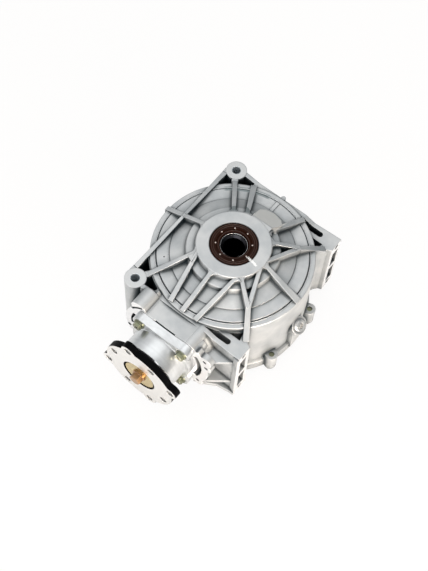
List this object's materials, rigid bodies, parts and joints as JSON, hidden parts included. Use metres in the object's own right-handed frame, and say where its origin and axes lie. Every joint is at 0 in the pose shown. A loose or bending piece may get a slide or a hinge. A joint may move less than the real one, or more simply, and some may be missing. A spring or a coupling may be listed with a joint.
{
  "type": "rear axle final drive",
  "caption": "Right-angle bevel final drive of a small off-road vehicle's rear axle: ribbed cast gear case, splined axle hub, pinion retainer with lobed companion flange.",
  "frame": {"origin": "where the axle line and the pinion line cross, inside the case", "axes": "+Z along the axle bore towards the ribbed side, -Y along the pinion to the companion flange, +X towards the mounting blocks"},
  "size_m": [0.267, 0.3465, 0.1698],
  "materials": {
    "case_aluminium": "as-cast, machined on its faces",
    "retainer_aluminium": "as-cast, machined on its faces",
    "gasket_paper": "dry sheet gasket",
    "bolt_zinc": "olive zinc plate",
    "dowel_steel": "ground",
    "gear_steel": "case-hardened and ground",
    "hub_steel": "black oxide, oiled",
    "race_steel": "ground",
    "roller_steel": "polished",
    "seal_rubber": "matt red-brown rubber",
    "ring_rubber": "matt black rubber",
    "flange_steel": "turned face, black edge",
    "washer_gold": "yellow zinc plate",
    "bolt_copper": "copper-brown plate",
    "washer_aluminium": "plain",
    "vent_brass": "plain"
  },
  "bodies": {
    "housing": {"bearing_circlip": "dowel_steel", "cover_bolts": "bolt_zinc", "cover_dowels": "dowel_steel", "cover_gasket": "gasket_paper", "drain_plug": "bolt_zinc", "drain_washer": "washer_aluminium", "filler_plug": "bolt_zinc", "filler_washer": "washer_aluminium", "head_bearing_outer_race": "race_steel", "lower_axle_seal": "seal_rubber", "lower_bearing_outer_race": "race_steel", "main_case": "case_aluminium", "pinion_bearing_outer_race": "race_steel", "pinion_retainer": "retainer_aluminium", "pinion_seal": "seal_rubber", "retainer_bolts": "bolt_zinc", "retainer_gasket": "gasket_paper", "retainer_o_ring": "ring_rubber", "side_cover": "case_aluminium", "upper_axle_seal": "seal_rubber", "upper_bearing_outer_race": "race_steel", "vent_fitting": "vent_brass"},
    "axle": {"axle_hub": "hub_steel", "hub_shim": "dowel_steel", "ring_gear": "gear_steel", "ring_gear_bolts": "dowel_steel", "upper_bearing_inner_race": "race_steel", "lower_bearing_inner_race": "race_steel"},
    "pinion": {"pinion_gear": "gear_steel", "head_bearing_inner_race": "race_steel", "pinion_bearing_inner_race": "race_steel", "bearing_spacer": "hub_steel", "drive_flange": "flange_steel", "flange_washer": "washer_gold", "flange_bolt": "bolt_copper"},
    "upper_cage": {"upper_bearing_rollers": "roller_steel"},
    "lower_cage": {"lower_bearing_rollers": "roller_steel"},
    "head_cage": {"head_bearing_rollers": "roller_steel"},
    "pinion_cage": {"pinion_bearing_rollers": "roller_steel"}
  },
  "joints": [
    {"name": "axle_spin", "type": "hinge", "parent": "housing", "child": "axle", "pos_m": [0, 0, 0], "axis": [0, 0, 1], "continuous": true},
    {"name": "pinion_spin", "type": "hinge", "parent": "housing", "child": "pinion", "pos_m": [0, 0, 0], "axis": [0, -1, 0], "continuous": true},
    {"name": "upper_cage_spin", "type": "hinge", "parent": "housing", "child": "upper_cage", "pos_m": [0, 0, 0], "axis": [0, 0, 1], "continuous": true},
    {"name": "lower_cage_spin", "type": "hinge", "parent": "housing", "child": "lower_cage", "pos_m": [0, 0, 0], "axis": [0, 0, 1], "continuous": true},
    {"name": "head_cage_spin", "type": "hinge", "parent": "housing", "child": "head_cage", "pos_m": [0, 0, 0], "axis": [0, -1, 0], "continuous": true},
    {"name": "pinion_cage_spin", "type": "hinge", "parent": "housing", "child": "pinion_cage", "pos_m": [0, 0, 0], "axis": [0, -1, 0], "continuous": true}
  ],
  "couplings": [
    {"joint": "pinion_spin", "follows": "axle_spin", "ratio": 3.3636},
    {"joint": "upper_cage_spin", "follows": "axle_spin", "ratio": 0.4475},
    {"joint": "lower_cage_spin", "follows": "axle_spin", "ratio": 0.4475},
    {"joint": "head_cage_spin", "follows": "axle_spin", "ratio": 1.4376},
    {"joint": "pinion_cage_spin", "follows": "axle_spin", "ratio": 1.4376}
  ]
}
